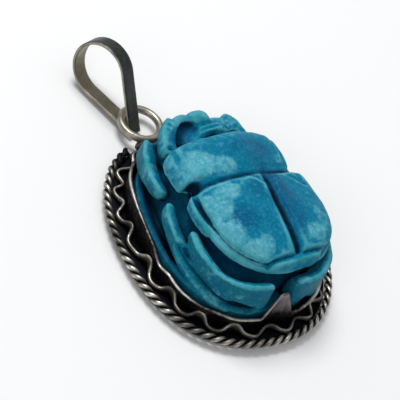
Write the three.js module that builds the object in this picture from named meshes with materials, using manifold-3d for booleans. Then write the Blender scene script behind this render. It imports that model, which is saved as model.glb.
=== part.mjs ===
// A carved turquoise scarab in an oxidised silver pendant mount: back plate, twisted rope
// border, wavy wire, sheet bezel with a tail claw, soldered jump ring and a linked strip bail.
// Millimetres, +Z up. The plate lies on z = 0, the scarab's head points along +Y.
import * as THREE from 'three';
import { mergeVertices } from 'three/addons/utils/BufferGeometryUtils.js';
import Module from 'manifold-3d';

const wasm = await Module();
wasm.setup();

// Back plate and the rope that outlines it
const MOUNT_LENGTH = 27.0;
const MOUNT_WIDTH = 24.0;
const MOUNT_SQUARENESS = 2.27;
const PLATE_THICKNESS = 0.6;
const PLATE_INSET = 0.7;
const PLATE_SIDES = 64;
const ROPE_DIAMETER = 0.9;
const ROPE_LAY = 1.12;
const ROPE_WAIST = 0.6;
const ROPE_LIFT = 0.03;
const ROPE_GAP_MIDDLE = 101;
const ROPE_GAP_SPREAD = 28;
const ROPE_STEPS_PER_LAY = 3;
const ROPE_SIDES = 6;
const ROPE_KNOTS = 160;

// Wavy wire between rope and bezel
const WAVE_TURNS = [10, 28, 46, 63, 77, 91, 111, 132, 146, 162,
  177, 195, 217, 239, 263, 279, 298, 316, 334, 352];
const WAVE_STEPS = 6;
const WAVE_INSET = 1.64;
const WAVE_HEIGHT = 0.4;
const WAVE_SQUARENESS = 2.38;
const WAVE_WIRE_WIDTH = 0.34;
const WAVE_WIRE_HEIGHT = 0.6;

// Bezel collar and its tail claw
const BEZEL_INSET = 2.46;
const BEZEL_SQUARENESS = 2.5;
const BEZEL_WALL = 0.35;
const BEZEL_RIM = 2.85;
const BEZEL_FLARE = 0.35;
const BEZEL_RIPPLE = 0.14;
const BEZEL_RIPPLES = 5;
const BEZEL_SIDES = 72;
const CLAW_X = 0.5;
const CLAW_HEIGHT = 4.0;
const CLAW_BLUNTNESS = 0.76;
const CLAW_HALF_WIDTH = 1.9;
const CLAW_LEAN = 0.72;

// Scarab: base band, tapering core, then the forms carved on its back. A form is a flat-bottomed
// dome with a reach, a height and a corner squareness of its own towards the head and the tail.
const BASE_GAP = 0.3;
const BASE_TOP = 3.3;
const BASE_FLARE = 0.2;
const CORE_HALF_WIDTH = 8.5;
const CORE_HALF_LENGTH = 9.8;
const CORE_AXIS = 0.3;
const CORE_SQUARENESS = 3;
const CORE_PROFILE = [[0, 1.6], [-0.2, 3.6], [-0.7, 4.7], [-2.0, 5.8], [-2.4, 7.4]];
const DRUM_SIDES = 32;
const RISE_SQUARENESS = 3.3;
const BACK_SIDES = 28;
const BACK_ROWS = 5;
const LUMP_SIDES = 12;
const LUMP_ROWS = 4;
const DOME_CROWN = 0.02;
const ELYTRA = {
  halfWidth: 7.35, forward: 5.0, rearward: 7.7, foot: 7.0, rise: 3.4, front: 4.4, rear: 2.4,
  x: 1.05, y: -1.5, yaw: 3,
};
const PRONOTUM = {
  halfWidth: 7.3, forward: 2.8, rearward: 2.8, foot: 6.8, rise: 3.2, front: 3.4, rear: 6,
  x: 0.15, y: 4.6, yaw: 5,
};
const HEAD = {
  halfWidth: 4.6, forward: 2.5, rearward: 2.9, foot: 4.0, rise: 2.9, front: 2.6, rear: 5,
  x: 0, y: 8.2, yaw: 5,
};
const CLYPEUS = {
  halfWidth: 1.9, forward: 1.1, rearward: 1.1, foot: 6.2, rise: 2.5, front: 3, rear: 3.5,
  x: 0.1, y: 9.7, yaw: 5,
};
const LEFT_CHEEK = {
  halfWidth: 1.5, forward: 1.1, rearward: 1.1, foot: 6.2, rise: 2.2, front: 3, rear: 3,
  x: -3.0, y: 9.6, yaw: 25,
};
const RIGHT_CHEEK = {
  halfWidth: 1.8, forward: 1.2, rearward: 1.3, foot: 6.2, rise: 1.6, front: 2.6, rear: 3,
  x: 2.8, y: 9.2, yaw: -15,
};
const BROW = {
  halfWidth: 1.9, forward: 0.55, rearward: 0.55, foot: 6.2, rise: 1.8, front: 4, rear: 4,
  x: 0, y: 8.1, yaw: 8,
};
const SUTURE_RADIUS = 0.5;
const SUTURE_FRONT = new THREE.Vector2(1.3, 3.2);
const SUTURE_REAR = new THREE.Vector2(0.2, -6.6);
const GROOVE_RADIUS = 0.55;
const BORDER_RADIUS = 0.3;
const ELYTRA_BORDER = { scale: 0.955, from: 78, to: 172, points: 8 };
const PRONOTUM_BORDER = { scale: 0.9, reach: 0.95 };
const NOTCH_RADIUS = 0.5;
const NOTCH_FRONT = new THREE.Vector2(5.8, 3.0);
const NOTCH_TIP = new THREE.Vector2(6.7, 0.6);
const LEG_STEPS = 6;
const LEG_SIDES = 6;
const LEG_END = 0.12;
const LEG_BLUNTNESS = 4;
const LEGS = [
  { radius: 0.95, axis: -0.8,
    route: [[4.8, 6.6, 6.6], [4.5, 7.9, 6.8], [3.9, 9.3, 6.9], [2.9, 10.2, 6.9]] },
  { radius: 0.95, axis: 0.2,
    route: [[5.6, 9.8, 4.6], [6.9, 7.6, 5.0], [7.4, 5.1, 5.2], [7.3, 3.0, 5.4]] },
  { radius: 1.0, axis: 0.2,
    route: [[7.8, 1.9, 6.0], [8.2, 0.5, 5.7], [7.3, -4.4, 5.0], [6.2, -7.3, 4.6], [4.4, -9.2, 4.3]] },
  { radius: 1.0, axis: 0.2,
    route: [[7.1, -2.6, 6.3], [6.5, -4.9, 6.1], [5.5, -7.2, 5.9], [4.1, -8.8, 5.7], [2.0, -9.4, 5.5]] },
];

// Jump ring and bail
const RING_RADIUS = 2.2;
const RING_WIRE = 0.84;
const RING_CENTRE = new THREE.Vector3(-2.5, 14.85, 1.42);
const RING_DROOP = -5;
const RING_SIDES = 26;
const RING_WIRE_SIDES = 8;
const SOLDER = {
  halfWidth: 0.6, forward: 0.5, rearward: 0.5, foot: PLATE_THICKNESS, rise: 0.9, front: 2, rear: 2,
};
const SOLDER_X = 0.85;
const SOLDER_Y = 12.5;
const SOLDER_SIDES = 10;
const SOLDER_ROWS = 3;
const BAIL_LENGTH = 10.8;
const BAIL_STEPS = 28;
const BAIL_BEND_RADIUS = 3.3;
const BAIL_WIDTH = 1.9;
const BAIL_THICKNESS = 0.32;
const BAIL_TIP = new THREE.Vector3(-2.95, 14.35, 0.52);
const BAIL_YAW = 22;
const BAIL_LEAN = -6.6;
const BAIL_LIFT = 24;

const FAIENCE = { color: 0x1687a8, roughness: 0.45, metalness: 0 };
const DARK_SILVER = { color: 0x1c2022, roughness: 0.5, metalness: 0.8 };
const WORN_SILVER = { color: 0x9a948a, roughness: 0.35, metalness: 0.9 };
const SLATE_SILVER = { color: 0x5d5b54, roughness: 0.4, metalness: 0.85 };

const radians = THREE.MathUtils.degToRad;

// Point of a rounded oval whose sides bulge more as the squareness grows
function ovalPoint(halfWidth, halfLength, squareness, angle) {
  const power = 2 / squareness;
  const c = Math.cos(angle);
  const s = Math.sin(angle);
  return new THREE.Vector2(
    halfWidth * Math.sign(c) * Math.abs(c) ** power,
    halfLength * Math.sign(s) * Math.abs(s) ** power,
  );
}

function oval(halfWidth, halfLength, squareness, count) {
  const angles = Array.from({ length: count }, (_, i) => (i / count) * 2 * Math.PI);
  return angles.map((angle) => ovalPoint(halfWidth, halfLength, squareness, angle));
}

// The mount's outline, moved inwards by an inset
function mountOutline(inset, squareness, count) {
  return oval(MOUNT_WIDTH / 2 - inset, MOUNT_LENGTH / 2 - inset, squareness, count);
}

// Closed mesh through equal rings of points: a closed sweep joins its ends, an open one is capped
function skin(rings, closedSweep) {
  const sides = rings[0].length;
  const positions = rings.flat().flatMap((p) => [p.x, p.y, p.z]);
  const index = [];
  const spans = closedSweep ? rings.length : rings.length - 1;
  for (let i = 0; i < spans; i += 1) {
    const next = (i + 1) % rings.length;
    for (let j = 0; j < sides; j += 1) {
      const k = (j + 1) % sides;
      index.push(i * sides + j, i * sides + k, next * sides + k);
      index.push(i * sides + j, next * sides + k, next * sides + j);
    }
  }
  if (!closedSweep) {
    [0, rings.length - 1].forEach((end) => {
      const middle = new THREE.Vector3();
      rings[end].forEach((p) => middle.addScaledVector(p, 1 / sides));
      const hub = positions.length / 3;
      positions.push(middle.x, middle.y, middle.z);
      for (let j = 0; j < sides; j += 1) {
        const k = (j + 1) % sides;
        const [first, second] = end === 0 ? [k, j] : [j, k];
        index.push(hub, end * sides + first, end * sides + second);
      }
    });
  }
  const geometry = new THREE.BufferGeometry();
  geometry.setAttribute('position', new THREE.Float32BufferAttribute(positions, 3));
  geometry.setIndex(index);
  return geometry;
}

function solid(geometry) {
  const bare = geometry.clone();
  bare.deleteAttribute('normal');
  bare.deleteAttribute('uv');
  const merged = mergeVertices(bare);
  return new wasm.Manifold(new wasm.Mesh({
    numProp: 3,
    vertProperties: new Float32Array(merged.attributes.position.array),
    triVerts: new Uint32Array(merged.index.array),
  }));
}

function geometryOf(manifold) {
  const mesh = manifold.getMesh();
  const geometry = new THREE.BufferGeometry();
  geometry.setAttribute('position', new THREE.BufferAttribute(mesh.vertProperties, 3));
  geometry.setIndex(new THREE.BufferAttribute(mesh.triVerts, 1));
  return geometry;
}

function piece(name, geometry, finish) {
  const mesh = new THREE.Mesh(geometry, new THREE.MeshStandardMaterial(finish));
  mesh.name = name;
  return mesh;
}

// Even round bar along a smooth curve, for cutting grooves
function bar(points, radius, steps, sides) {
  const section = new THREE.Shape(oval(radius, radius, 2, sides));
  const path = new THREE.CatmullRomCurve3(points);
  return new THREE.ExtrudeGeometry(section, { steps, bevelEnabled: false, extrudePath: path });
}

// Rounded limb along a smooth curve, thinning to both ends
function limb(points, radius, steps, sides) {
  const route = new THREE.CatmullRomCurve3(points);
  const up = new THREE.Vector3(0, 0, 1);
  const rings = Array.from({ length: steps + 1 }, (_, i) => {
    const part = i / steps;
    const along = route.getTangentAt(part);
    const across = up.clone().cross(along).normalize();
    const rise = along.clone().cross(across);
    const thin = Math.max(LEG_END, Math.sqrt(1 - Math.abs(2 * part - 1) ** LEG_BLUNTNESS));
    return oval(radius * thin, radius * thin, 2, sides).map((p) => (
      route.getPointAt(part).addScaledVector(across, p.x).addScaledVector(rise, p.y)));
  });
  return skin(rings, false);
}

function backPlate() {
  const outline = new THREE.Shape(mountOutline(PLATE_INSET, MOUNT_SQUARENESS, PLATE_SIDES));
  return new THREE.ExtrudeGeometry(outline, { depth: PLATE_THICKNESS, bevelEnabled: false });
}

// Two wires twisted together, broken where the jump ring is soldered on
function ropeBorder() {
  const radius = ROPE_DIAMETER / 2;
  const height = PLATE_THICKNESS + ROPE_LIFT + radius;
  const start = radians(ROPE_GAP_MIDDLE + ROPE_GAP_SPREAD / 2);
  const sweep = radians(360 - ROPE_GAP_SPREAD);
  const route = new THREE.CatmullRomCurve3(Array.from({ length: ROPE_KNOTS + 1 }, (_, i) => {
    const p = ovalPoint(MOUNT_WIDTH / 2 - radius, MOUNT_LENGTH / 2 - radius,
      MOUNT_SQUARENESS, start + (sweep * i) / ROPE_KNOTS);
    return new THREE.Vector3(p.x, p.y, height);
  }));
  const lays = Math.round(route.getLength() / ROPE_LAY);
  const steps = lays * ROPE_STEPS_PER_LAY;
  const up = new THREE.Vector3(0, 0, 1);
  const rings = Array.from({ length: steps + 1 }, (_, i) => {
    const middle = route.getPointAt(i / steps);
    const out = up.clone().cross(route.getTangentAt(i / steps)).normalize();
    const lay = (-Math.PI * i) / ROPE_STEPS_PER_LAY;
    return Array.from({ length: ROPE_SIDES }, (_unused, j) => {
      const turn = (j / ROPE_SIDES) * 2 * Math.PI;
      const swell = (1 + Math.cos(2 * (turn - lay))) / 2;
      const reach = radius * (ROPE_WAIST + (1 - ROPE_WAIST) * swell);
      return middle.clone()
        .addScaledVector(out, reach * Math.cos(turn))
        .addScaledVector(up, reach * Math.sin(turn));
    });
  });
  return skin(rings, false);
}

// Ribbon on edge that swings between the rope and the bezel, bent by hand so that no two waves are alike
function zigzagWire() {
  const count = WAVE_TURNS.length * WAVE_STEPS;
  const foot = PLATE_THICKNESS;
  const line = Array.from({ length: count }, (_, i) => {
    const wave = Math.floor(i / WAVE_STEPS);
    const share = i / WAVE_STEPS - wave;
    const next = wave + 1 < WAVE_TURNS.length ? WAVE_TURNS[wave + 1] : WAVE_TURNS[0] + 360;
    const angle = radians(WAVE_TURNS[wave] + (next - WAVE_TURNS[wave]) * share);
    const inset = WAVE_INSET - WAVE_HEIGHT * Math.cos(2 * Math.PI * share);
    return ovalPoint(MOUNT_WIDTH / 2 - inset, MOUNT_LENGTH / 2 - inset, WAVE_SQUARENESS, angle);
  });
  const rings = line.map((p, i) => {
    const before = line[(i + count - 1) % count];
    const after = line[(i + 1) % count];
    const along = after.clone().sub(before).normalize();
    const side = new THREE.Vector2(along.y, -along.x).multiplyScalar(WAVE_WIRE_WIDTH / 2);
    return [[-1, 0], [-1, 1], [1, 1], [1, 0]].map(([across, level]) => new THREE.Vector3(
      p.x + across * side.x, p.y + across * side.y, foot + level * WAVE_WIRE_HEIGHT));
  });
  return skin(rings, true);
}

// Thin collar whose rim ripples and rises to a blunt claw behind the tail
function bezel() {
  const outer = mountOutline(BEZEL_INSET, BEZEL_SQUARENESS, BEZEL_SIDES);
  const wall = BEZEL_INSET + BEZEL_WALL;
  const inner = mountOutline(wall, BEZEL_SQUARENESS, BEZEL_SIDES);
  const outerRim = mountOutline(BEZEL_INSET - BEZEL_FLARE, BEZEL_SQUARENESS, BEZEL_SIDES);
  const innerRim = mountOutline(wall - BEZEL_FLARE, BEZEL_SQUARENESS, BEZEL_SIDES);
  const rings = outer.map((out, i) => {
    const angle = (i / BEZEL_SIDES) * 2 * Math.PI;
    const slope = 1 - Math.abs(out.x - CLAW_X) / CLAW_HALF_WIDTH;
    const tail = out.y < 0 ? Math.min(Math.max(0, slope), CLAW_BLUNTNESS) : 0;
    const rim = BEZEL_RIM + BEZEL_RIPPLE * Math.sin(BEZEL_RIPPLES * angle) + CLAW_HEIGHT * tail;
    const lean = CLAW_LEAN * tail;
    return [
      new THREE.Vector3(innerRim[i].x, innerRim[i].y + lean, rim),
      new THREE.Vector3(outerRim[i].x, outerRim[i].y + lean, rim),
      new THREE.Vector3(out.x, out.y, PLATE_THICKNESS),
      new THREE.Vector3(inner[i].x, inner[i].y, PLATE_THICKNESS),
    ];
  });
  return skin(rings, true);
}

// Plan of a form: its front and rear halves have reaches and corners of their own
function planHalf(form, y) {
  return y >= 0
    ? { reach: form.forward, squareness: form.front }
    : { reach: form.rearward, squareness: form.rear };
}

function planPoint(form, angle) {
  const { reach, squareness } = planHalf(form, Math.sin(angle));
  return ovalPoint(form.halfWidth, reach, squareness, angle);
}

// Flat-bottomed dome about its own middle
function dome(form, count, rows) {
  const power = 2 / RISE_SQUARENESS;
  const rings = Array.from({ length: rows + 1 }, (_, row) => {
    const tilt = (row / rows) * (Math.PI / 2);
    const spread = Math.max(DOME_CROWN, Math.cos(tilt) ** power);
    const level = form.foot + form.rise * Math.sin(tilt) ** power;
    return Array.from({ length: count }, (_unused, i) => {
      const p = planPoint(form, (i / count) * 2 * Math.PI).multiplyScalar(spread);
      return new THREE.Vector3(p.x, p.y, level);
    });
  });
  return skin(rings, false);
}

// Point of a dome's surface above a place of its plan
function onDome(form, x, y) {
  const { reach, squareness } = planHalf(form, y);
  const plan = Math.abs(x / form.halfWidth) ** squareness + Math.abs(y / reach) ** squareness;
  const spread = plan ** (RISE_SQUARENESS / squareness);
  const level = form.foot + form.rise * Math.max(0, 1 - spread) ** (1 / RISE_SQUARENESS);
  return new THREE.Vector3(x, y, level);
}

function placeOf(form) {
  return new THREE.Matrix4().makeRotationZ(radians(form.yaw)).setPosition(form.x, form.y, 0);
}

// A placed form with grooves cut along curves of its own frame
function carved(form, count, rows, grooves) {
  const place = placeOf(form);
  const shell = solid(dome(form, count, rows).applyMatrix4(place));
  return grooves.reduce((body, groove) => body.subtract(solid(groove.applyMatrix4(place))), shell);
}

// Oval drum through levels at which it spreads or draws in
function drum(halfWidth, halfLength, squareness, profile) {
  const rings = profile.map(([spread, level]) => (
    oval(halfWidth + spread, halfLength + spread, squareness, DRUM_SIDES)
      .map((p) => new THREE.Vector3(p.x, p.y, level))));
  return skin(rings, false);
}

// Wing cases: a seam down the middle, a border line and a notch on each side
function elytra() {
  const seam = [0, 0.25, 0.5, 0.75, 1].map((part) => {
    const p = SUTURE_FRONT.clone().lerp(SUTURE_REAR, part);
    return onDome(ELYTRA, p.x, p.y);
  });
  const grooves = [bar(seam, SUTURE_RADIUS, 8, 6)];
  [-1, 1].forEach((side) => {
    const { scale, from, to, points } = ELYTRA_BORDER;
    const border = Array.from({ length: points }, (_, i) => {
      const turn = THREE.MathUtils.lerp(from, to, i / (points - 1));
      const p = planPoint(ELYTRA, radians(90 + side * turn)).multiplyScalar(scale);
      return onDome(ELYTRA, p.x, p.y);
    });
    const notch = [0, 0.5, 1].map((part) => {
      const p = NOTCH_FRONT.clone().lerp(NOTCH_TIP, part);
      return onDome(ELYTRA, side * p.x, p.y);
    });
    grooves.push(bar(border, BORDER_RADIUS, 12, 5), bar(notch, NOTCH_RADIUS, 4, 5));
  });
  return carved(ELYTRA, BACK_SIDES, BACK_ROWS, grooves);
}

// Fore part of the back with a border line at each end
function pronotum() {
  const { scale, reach } = PRONOTUM_BORDER;
  const grooves = [-1, 1].map((side) => {
    const line = [-1, -0.4, 0.4, 1].map((part) => onDome(PRONOTUM,
      side * PRONOTUM.halfWidth * scale, part * reach * PRONOTUM.forward));
    return bar(line, BORDER_RADIUS, 6, 5);
  });
  return carved(PRONOTUM, BACK_SIDES, BACK_ROWS, grooves);
}

// Cutter along the rear edge of the pronotum, laid on the front of the wing cases
function backGroove() {
  const toElytra = placeOf(ELYTRA).invert();
  const line = [-1.04, -0.8, -0.4, 0, 0.4, 0.8, 1.04].map((part) => {
    const edge = new THREE.Vector3(part * PRONOTUM.halfWidth, -PRONOTUM.rearward, 0);
    const p = edge.applyMatrix4(placeOf(PRONOTUM)).applyMatrix4(toElytra);
    return onDome(ELYTRA, p.x, p.y).applyMatrix4(placeOf(ELYTRA));
  });
  return solid(bar(line, GROOVE_RADIUS, 12, 6));
}

// Three legs folded along each flank and a foreleg beside the head
function legs() {
  return [-1, 1].flatMap((side) => LEGS.map(({ radius, axis, route }) => {
    const points = route.map(([x, y, z]) => new THREE.Vector3(axis + side * x, y, z));
    return solid(limb(points, radius, LEG_STEPS, LEG_SIDES));
  }));
}

function scarab() {
  const inset = BEZEL_INSET + BEZEL_WALL + BASE_GAP;
  const base = drum(MOUNT_WIDTH / 2 - inset, MOUNT_LENGTH / 2 - inset, BEZEL_SQUARENESS,
    [[0, PLATE_THICKNESS], [BASE_FLARE, BASE_TOP]]);
  const core = drum(CORE_HALF_WIDTH, CORE_HALF_LENGTH, CORE_SQUARENESS, CORE_PROFILE)
    .translate(CORE_AXIS, 0, 0);
  const head = [HEAD, CLYPEUS, LEFT_CHEEK, RIGHT_CHEEK, BROW].map((form) => (
    carved(form, LUMP_SIDES, LUMP_ROWS, [])));
  const back = elytra().add(pronotum()).subtract(backGroove());
  const forms = [solid(core), back, ...head, ...legs()];
  const body = forms.reduce((whole, form) => whole.add(form), solid(base));
  return geometryOf(body);
}

// Round wire ring with two lumps of solder that seat it on the plate's edge
function jumpRing() {
  const place = new THREE.Matrix4().makeRotationX(radians(RING_DROOP)).setPosition(RING_CENTRE);
  const wire = new THREE.TorusGeometry(RING_RADIUS, RING_WIRE / 2, RING_WIRE_SIDES, RING_SIDES)
    .applyMatrix4(place);
  const solder = [-1, 1].map((side) => {
    const lump = dome(SOLDER, SOLDER_SIDES, SOLDER_ROWS)
      .translate(RING_CENTRE.x + side * SOLDER_X, SOLDER_Y, 0);
    return solid(lump);
  });
  return geometryOf(solder.reduce((body, lump) => body.add(lump), solid(wire)));
}

// Outline of a strip bent round at one end and brought together at the other
function teardrop(length, bend, count) {
  const middle = length - bend;
  const half = Math.asin(bend / middle);
  const shape = new THREE.Shape();
  shape.moveTo(0, 0);
  for (let i = 0; i <= count; i += 1) {
    const angle = -(Math.PI / 2 + half) + ((Math.PI + 2 * half) * i) / count;
    shape.lineTo(middle + bend * Math.cos(angle), bend * Math.sin(angle));
  }
  shape.closePath();
  return shape;
}

// Strip bail linked through the ring, leaning back on its lower side
function bail() {
  const outline = teardrop(BAIL_LENGTH, BAIL_BEND_RADIUS, BAIL_STEPS);
  const inner = teardrop(BAIL_LENGTH, BAIL_BEND_RADIUS, BAIL_STEPS).getPoints();
  const reach = BAIL_LENGTH - BAIL_BEND_RADIUS;
  const shrink = (BAIL_BEND_RADIUS - BAIL_THICKNESS) / BAIL_BEND_RADIUS;
  outline.holes.push(new THREE.Path(inner.map((p) => (
    new THREE.Vector2(reach + (p.x - reach) * shrink, p.y * shrink)))));
  const strip = new THREE.ExtrudeGeometry(outline, { depth: BAIL_WIDTH, bevelEnabled: false });
  strip.translate(0, 0, -BAIL_WIDTH / 2);
  const yaw = radians(BAIL_YAW);
  const lean = radians(BAIL_LEAN);
  const across = new THREE.Vector3(Math.cos(yaw) * Math.cos(lean), Math.sin(yaw) * Math.cos(lean),
    Math.sin(lean));
  const upward = new THREE.Vector3(0, 0, 1).addScaledVector(across, -across.z).normalize();
  const along = upward.clone().cross(across).normalize();
  along.applyAxisAngle(across, radians(BAIL_LIFT));
  upward.copy(across).cross(along).normalize();
  const place = new THREE.Matrix4().makeBasis(along, upward, across).setPosition(BAIL_TIP);
  return strip.applyMatrix4(place);
}

const scarabPendant = new THREE.Group();
scarabPendant.add(
  piece('back_plate', backPlate(), DARK_SILVER),
  piece('rope_border', ropeBorder(), WORN_SILVER),
  piece('zigzag_wire', zigzagWire(), WORN_SILVER),
  piece('bezel', bezel(), SLATE_SILVER),
  piece('scarab', scarab(), FAIENCE),
  piece('jump_ring', jumpRing(), WORN_SILVER),
  piece('bail', bail(), SLATE_SILVER),
);

export default scarabPendant;
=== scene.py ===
"""Looks of a scarab pendant: a carved, glazed scarab set in an oxidised silver mount."""
import math

import bpy
import numpy as np
from mathutils import Matrix, Vector, noise


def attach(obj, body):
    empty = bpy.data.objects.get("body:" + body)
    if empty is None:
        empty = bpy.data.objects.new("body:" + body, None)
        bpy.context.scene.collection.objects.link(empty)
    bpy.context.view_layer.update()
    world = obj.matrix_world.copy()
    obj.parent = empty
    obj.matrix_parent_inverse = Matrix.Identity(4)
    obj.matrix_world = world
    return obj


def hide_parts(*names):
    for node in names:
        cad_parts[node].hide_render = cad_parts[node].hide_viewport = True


bl_info = {
    "name": "Scarab pendant",
    "version": (1, 0, 0),
    "blender": (4, 5, 0),
    "location": "View3D > Sidebar > Pendant",
    "description": "Dresses the solids of a scarab pendant with carving, glaze and worn silver",
    "category": "Add Mesh",
}

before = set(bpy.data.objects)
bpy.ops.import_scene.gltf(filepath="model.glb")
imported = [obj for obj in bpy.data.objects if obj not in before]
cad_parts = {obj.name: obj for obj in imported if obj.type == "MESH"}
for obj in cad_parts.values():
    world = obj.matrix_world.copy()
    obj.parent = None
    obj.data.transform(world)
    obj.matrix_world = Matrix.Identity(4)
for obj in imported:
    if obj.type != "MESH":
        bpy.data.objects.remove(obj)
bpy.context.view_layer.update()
MM = 0.001
TURN = 2.0 * math.pi
UP = np.array((0.0, 0.0, 1.0))
SIDES = (-1.0, 1.0)

# Mount, in millimetres and degrees
MOUNT_HALF_WIDTH = 12.0
MOUNT_HALF_LENGTH = 13.5
MOUNT_SQUARENESS = 2.27
PLATE_THICKNESS = 0.6
PLATE_INSET = 0.7
PLATE_EDGE = 0.12
PLATE_STEPS = 160
ROPE_LIFT = 0.03
ROPE_GAP_MIDDLE = 101.0
ROPE_GAP_SPREAD = 28.0
ROPE_STEPS = 400
# Strands: steps a turn, sides, and parts of the rope's radius
STRAND_STEPS = 22
STRAND_SIDES = 10
STRAND_RADIUS = 0.56
STRAND_OFFSET = 0.44
WAVE_TURNS = (10, 28, 46, 63, 77, 91, 111, 132, 146, 162, 177, 195, 217, 239, 263, 279, 298, 316,
              334, 352)
WAVE_STEPS = 24
WAVE_INSET = 1.64
WAVE_HEIGHT = 0.5
WAVE_LIMIT = 2.26
WAVE_SHIFT = 0.36
WAVE_LOSS = 0.06
WAVE_CLIMB = 1.3
WAVE_UNEVENNESS = 0.09
WAVE_SQUARENESS = 2.38
BEZEL_INSET = 2.46
BEZEL_SQUARENESS = 2.5
BEZEL_WALL = 0.35
BEZEL_RIM = 2.85
BEZEL_FLARE = 0.35
BEZEL_RIPPLE = 0.14
BEZEL_RIPPLES = 5
# Smaller ripples: height, number and phase
BEZEL_DENTS = ((0.05, 11, 0.6), (0.04, 17, 0.0))
BEZEL_STEPS = 480
CLAW_X = 0.5
CLAW_HEIGHT = 4.0
CLAW_BLUNTNESS = 0.76
CLAW_HALF_WIDTH = 1.8
CLAW_LEAN = 0.95
PRESSED_MIDDLE = 172.0
PRESSED_SPREAD = 48.0
PRESSED_HEIGHT = 0.4
PRESSED_LEAN = 0.42
UNDERCUT = 0.28
UNDERCUT_MIDDLE = 212.0
UNDERCUT_SPREAD = 85.0
DIP_MIDDLE = 191.0
DIP_SPREAD = 9.0
DIP_DEPTH = 0.55

# Outlines that are swept along the mount
# Plate: inset, level and wear
PLATE_SECTION = ((PLATE_EDGE, 0.0, 0.35), (0.0, PLATE_EDGE, 0.5),
                 (0.0, PLATE_THICKNESS - PLATE_EDGE, 0.4), (PLATE_EDGE, PLATE_THICKNESS, 0.12),
                 (1.2, PLATE_THICKNESS, 0.02))
# Wavy wire: part of its half width, part of its height, and wear
WIRE_SECTION = ((-1.0, 0.0, 0.1), (-1.0, 0.45, 0.4), (-1.0, 0.82, 0.75), (-0.6, 1.0, 0.85),
                (0.6, 1.0, 0.85), (1.0, 0.82, 0.75), (1.0, 0.45, 0.4), (1.0, 0.0, 0.1))
# Bezel: part of the wall from inside, part of the flare, part of the height, and wear
BEZEL_SECTION = ((0.0, 1.0, 0.97, 0.6), (0.25, 1.0, 1.0, 0.85), (0.75, 1.0, 1.0, 0.9),
                 (1.0, 1.0, 0.97, 0.75), (1.0, 0.9, 0.9, 0.35), (1.0, 0.45, 0.55, 0.2),
                 (1.0, 0.32, 0.42, 0.12), (1.0, 0.0, 0.0, 0.05), (0.0, 0.0, 0.0, 0.05),
                 (0.0, 0.5, 0.6, 0.2))

# Scarab, in millimetres and degrees: base, core, the forms of the back and the legs
BASE_GAP = 0.3
BASE_INSET = BEZEL_INSET + BEZEL_WALL + BASE_GAP
BASE_TOP = 3.3
BASE_FLARE = 0.2
CORE_HALF_WIDTH = 8.5
CORE_HALF_LENGTH = 9.8
CORE_AXIS = 0.3
CORE_SQUARENESS = 3.0
CORE_PROFILE = ((0.0, 1.6), (-0.2, 3.3), (-0.9, 3.8), (-1.2, 4.7), (-1.9, 5.6), (-2.3, 6.2),
                (-2.4, 7.9))
RISE_SQUARENESS = 3.3
LEG_SQUARENESS = 5.5
LEG_RIDGE = 0.4
ELYTRA = dict(half_width=7.35, forward=5.0, rearward=7.7, foot=7.45, rise=2.95, front=4.4, rear=2.4,
              x=1.05, y=-1.5, yaw=3.0)
PRONOTUM = dict(half_width=7.3, forward=2.8, rearward=2.8, foot=7.2, rise=2.8, front=3.4, rear=6.0,
                crispness=3.6, x=0.15, y=4.6, yaw=5.0)
HEAD = dict(half_width=4.4, forward=2.6, rearward=2.9, foot=4.0, rise=4.1, front=2.6, rear=5.0,
            x=-0.5, y=8.3, yaw=5.0)
CLYPEUS = dict(half_width=1.5, forward=1.2, rearward=1.0, foot=6.2, rise=2.5, front=3.4, rear=3.5,
               x=-0.65, y=10.0, yaw=5.0)
LEFT_CHEEK = dict(half_width=1.3, forward=0.9, rearward=0.75, foot=6.2, rise=2.2, front=3.0, rear=3.0,
                  x=-2.75, y=10.1, yaw=15.0)
RIGHT_CHEEK = dict(half_width=1.75, forward=1.2, rearward=1.0, foot=6.2, rise=1.75, front=2.6, rear=3.0,
                   x=2.0, y=9.2, yaw=-18.0)
LEFT_TEMPLE = dict(half_width=1.9, forward=1.7, rearward=1.9, foot=3.8, rise=3.75, front=3.0, rear=3.0,
                   x=-3.7, y=8.3, yaw=5.0)
RIGHT_TEMPLE = dict(half_width=1.8, forward=1.6, rearward=1.8, foot=3.8, rise=3.7, front=3.0, rear=3.0,
                    x=3.0, y=8.6, yaw=5.0)
BROW = dict(half_width=2.0, forward=0.75, rearward=0.6, foot=6.2, rise=2.45, front=4.0, rear=4.0,
            x=-0.1, y=8.5, yaw=6.0)
BACK_FORMS = (ELYTRA, PRONOTUM, HEAD, LEFT_TEMPLE, RIGHT_TEMPLE, CLYPEUS, LEFT_CHEEK, RIGHT_CHEEK,
              BROW)
FORELEG = dict(thick=1.0, tall=1.05, axis=-0.4, right_lift=-0.7,
               route=((4.8, 6.6, 6.6), (4.5, 7.9, 6.9), (3.9, 9.3, 7.2), (2.9, 10.4, 7.2)))
FRONT_LEG = dict(thick=0.85, tall=1.1, slope=0.45, axis=0.2, growth=-0.3, spread=-0.2, right_lift=-0.9,
                 route=((5.6, 9.8, 4.6), (6.9, 7.6, 5.0), (7.4, 5.1, 5.2), (7.3, 3.0, 5.4)))
MIDDLE_LEG = dict(thick=0.9, tall=0.95, slope=0.5, axis=0.2, growth=0.15, spread=0.25,
                  route=((7.5, 1.9, 6.0), (8.0, 0.5, 5.6), (7.9, -2.6, 4.8), (7.2, -5.4, 4.1),
                         (5.9, -8.0, 3.7), (4.2, -9.4, 3.5)))
HIND_LEG = dict(thick=0.85, tall=1.5, slope=0.5, axis=0.4, growth=0.55, spread=0.22, right_lift=0.1,
                route=((7.2, -2.0, 6.4), (7.15, -4.9, 5.9), (6.3, -7.3, 5.4), (4.6, -8.9, 5.2),
                       (2.6, -9.55, 5.2), (1.1, -9.5, 5.3)))
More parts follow.
